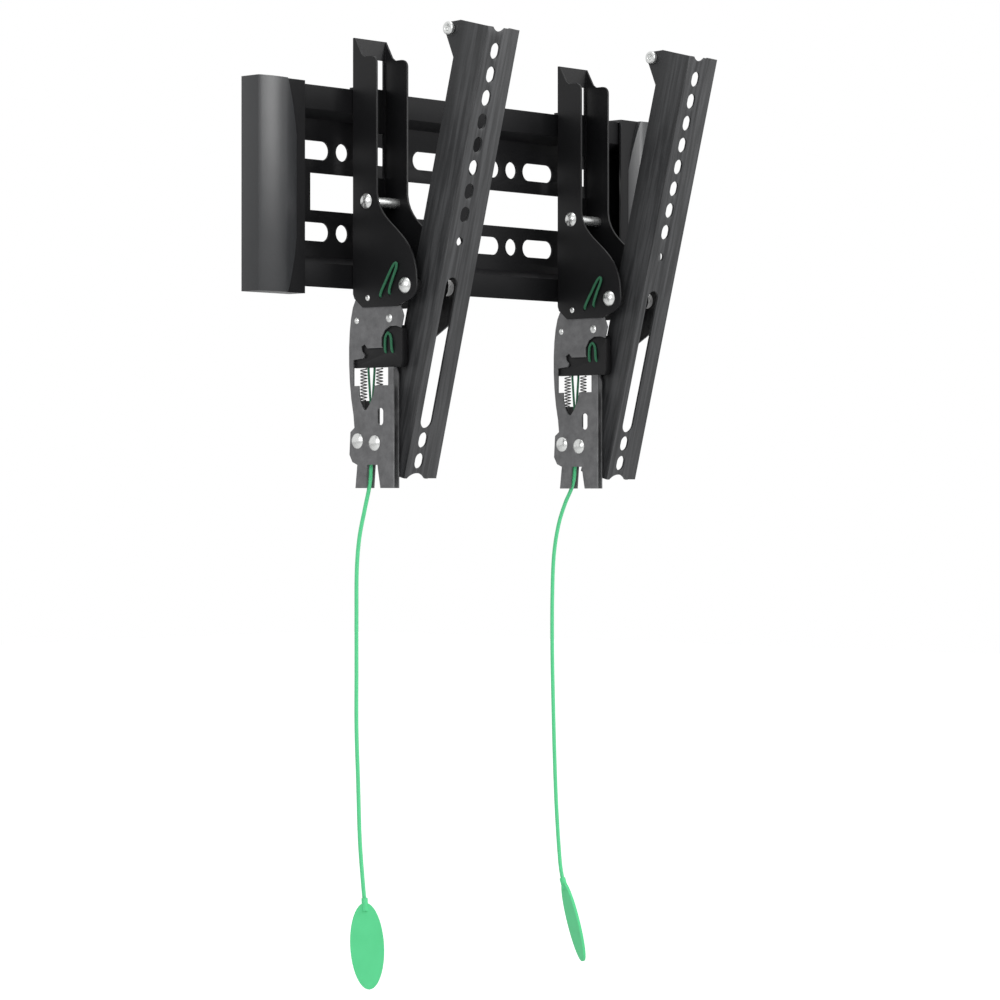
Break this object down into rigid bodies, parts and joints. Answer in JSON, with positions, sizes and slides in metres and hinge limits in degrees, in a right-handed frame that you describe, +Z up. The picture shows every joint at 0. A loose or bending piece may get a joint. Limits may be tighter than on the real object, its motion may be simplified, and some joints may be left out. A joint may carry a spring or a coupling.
{
  "type": "tilting tv wall mount",
  "caption": "Wall plate with end caps, hooked brackets that slide along it, tilting screen rails and spring latches released by green pull cords.",
  "frame": {"origin": "centre of the wall plate's back face, at the middle of its length and height", "axes": "+X to the right as seen from the room, +Y into the wall, +Z up"},
  "size_m": [0.662, 0.2016, 1.034],
  "materials": {
    "plate_black": "black powder coat",
    "bracket_black": "black powder coat",
    "rail_charcoal": "charcoal coat",
    "cap_charcoal": "satin moulded plastic",
    "bolt_silver": "bright plated steel",
    "collar_silver": "bright plated steel",
    "nut_silver": "plated steel",
    "latch_grey": "grey coat",
    "spacer_black": "moulded plastic",
    "slider_black": "black coat",
    "seat_black": "moulded plastic",
    "rivet_silver": "bright plated steel",
    "spring_steel": "drawn wire",
    "cord_green": "braided cord",
    "tag_green": "soft moulded"
  },
  "bodies": {
    "wall_frame": {"wall_plate": "plate_black", "end_cap_left": "cap_charcoal", "end_cap_right": "cap_charcoal"},
    "bracket_left": {"hook_bracket_left": "bracket_black", "spacer_bolt_left": "bolt_silver", "spacer_sleeve_left": "collar_silver", "spacer_nut_left": "nut_silver", "pivot_bolt_left": "bolt_silver", "pivot_spacer_left": "spacer_black", "pivot_collar_left": "collar_silver", "pivot_nut_left": "nut_silver", "latch_plate_outer_left": "latch_grey", "latch_plate_inner_left": "latch_grey", "spring_seat_left": "seat_black", "latch_rivets_left": "rivet_silver", "latch_springs_left": "spring_steel", "cord_loop_left": "cord_green"},
    "rail_left": {"tv_rail_left": "rail_charcoal", "level_screw_left": "bolt_silver", "level_nut_left": "nut_silver"},
    "latch_left": {"latch_slider_left": "slider_black", "cord_bridle_left": "cord_green", "pull_cord_left": "cord_green", "pull_tag_left": "tag_green"},
    "bracket_right": {"hook_bracket_right": "bracket_black", "spacer_bolt_right": "bolt_silver", "spacer_sleeve_right": "collar_silver", "spacer_nut_right": "nut_silver", "pivot_bolt_right": "bolt_silver", "pivot_spacer_right": "spacer_black", "pivot_collar_right": "collar_silver", "pivot_nut_right": "nut_silver", "latch_plate_outer_right": "latch_grey", "latch_plate_inner_right": "latch_grey", "spring_seat_right": "seat_black", "latch_rivets_right": "rivet_silver", "latch_springs_right": "spring_steel", "cord_loop_right": "cord_green"},
    "rail_right": {"tv_rail_right": "rail_charcoal", "level_screw_right": "bolt_silver", "level_nut_right": "nut_silver"},
    "latch_right": {"latch_slider_right": "slider_black", "cord_bridle_right": "cord_green", "pull_cord_right": "cord_green", "pull_tag_right": "tag_green"}
  },
  "joints": [
    {"name": "bracket_left_slide", "type": "slide", "parent": "wall_frame", "child": "bracket_left", "axis": [1, 0, 0], "range_m": [-0.065, 0.12]},
    {"name": "rail_left_tilt", "type": "hinge", "parent": "bracket_left", "child": "rail_left", "pos_m": [-0.14215, -0.0992, -0.1065], "axis": [1, 0, 0], "range_deg": [-14.3, 0.7]},
    {"name": "latch_left_pull", "type": "slide", "parent": "bracket_left", "child": "latch_left", "axis": [0, 0, -1], "range_m": [0, 0.012], "stiffness_N_per_m": 700, "springref_m": -0.008, "deforming": ["latch_springs_left"]},
    {"name": "bracket_right_slide", "type": "slide", "parent": "wall_frame", "child": "bracket_right", "axis": [1, 0, 0], "range_m": [-0.12, 0.028]},
    {"name": "rail_right_tilt", "type": "hinge", "parent": "bracket_right", "child": "rail_right", "pos_m": [0.19355, -0.0992, -0.1065], "axis": [1, 0, 0], "range_deg": [-14.3, 0.7]},
    {"name": "latch_right_pull", "type": "slide", "parent": "bracket_right", "child": "latch_right", "axis": [0, 0, -1], "range_m": [0, 0.012], "stiffness_N_per_m": 700, "springref_m": -0.008, "deforming": ["latch_springs_right"]}
  ]
}
